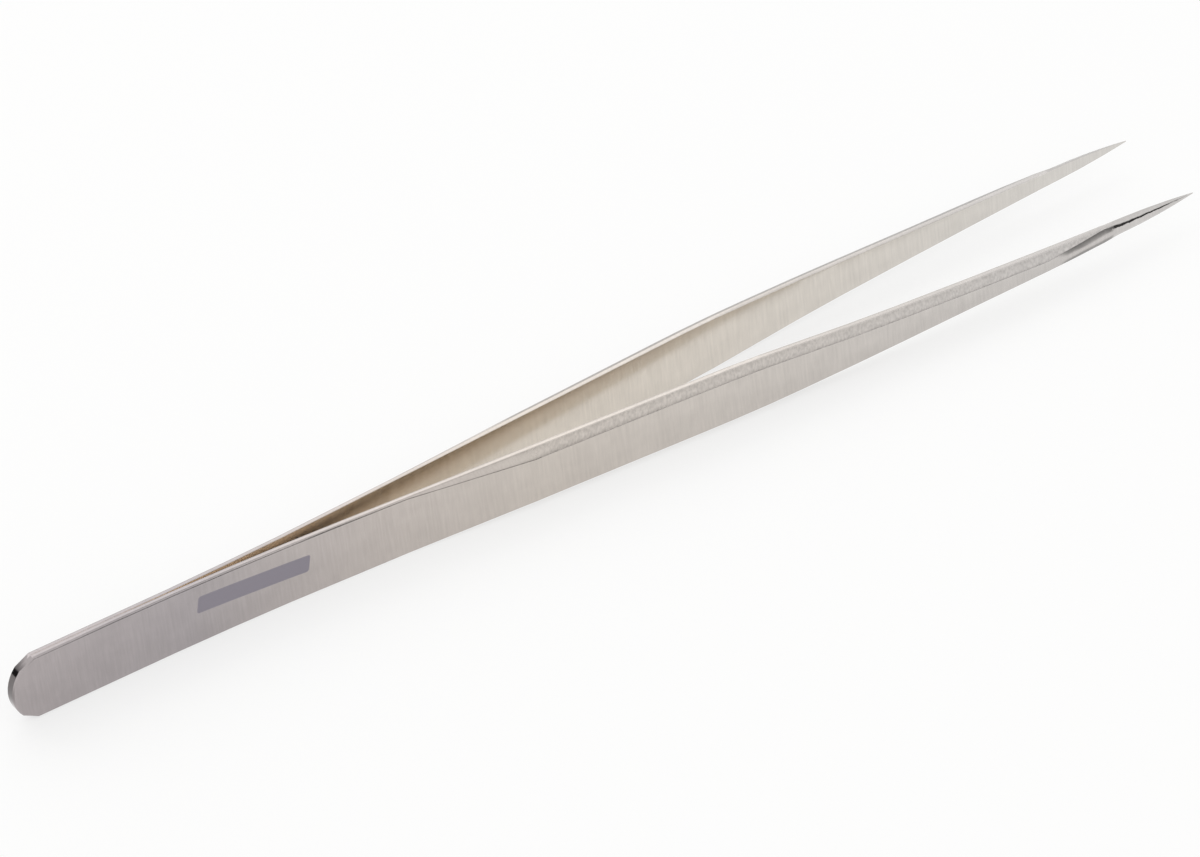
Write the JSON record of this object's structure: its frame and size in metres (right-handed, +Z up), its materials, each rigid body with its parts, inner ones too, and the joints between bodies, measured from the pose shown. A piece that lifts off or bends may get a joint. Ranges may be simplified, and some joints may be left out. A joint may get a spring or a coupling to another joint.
{
  "type": "straight fine-point tweezers",
  "caption": "Long straight precision tweezers of bare ground stainless steel, arms joined at a rounded heel, bevelled grips and needle-fine points.",
  "frame": {"origin": "midway along the length, on the plane between the arms, on the surface that the lower edges stand on", "axes": "+X from the heel to the points, +Y across the opening towards the left arm, +Z up across the width of the arms, which dip 0.41 degrees towards the points so that their tapering lower edges lie level"},
  "size_m": [0.14, 0.013, 0.0075],
  "materials": {
    "right_arm_steel": "fine ground, satin, with polished heel rim and point",
    "left_arm_steel": "fine ground, satin, with polished heel rim and point"
  },
  "bodies": {
    "root": {"right_arm": "right_arm_steel", "left_arm": "left_arm_steel"}
  },
  "joints": []
}
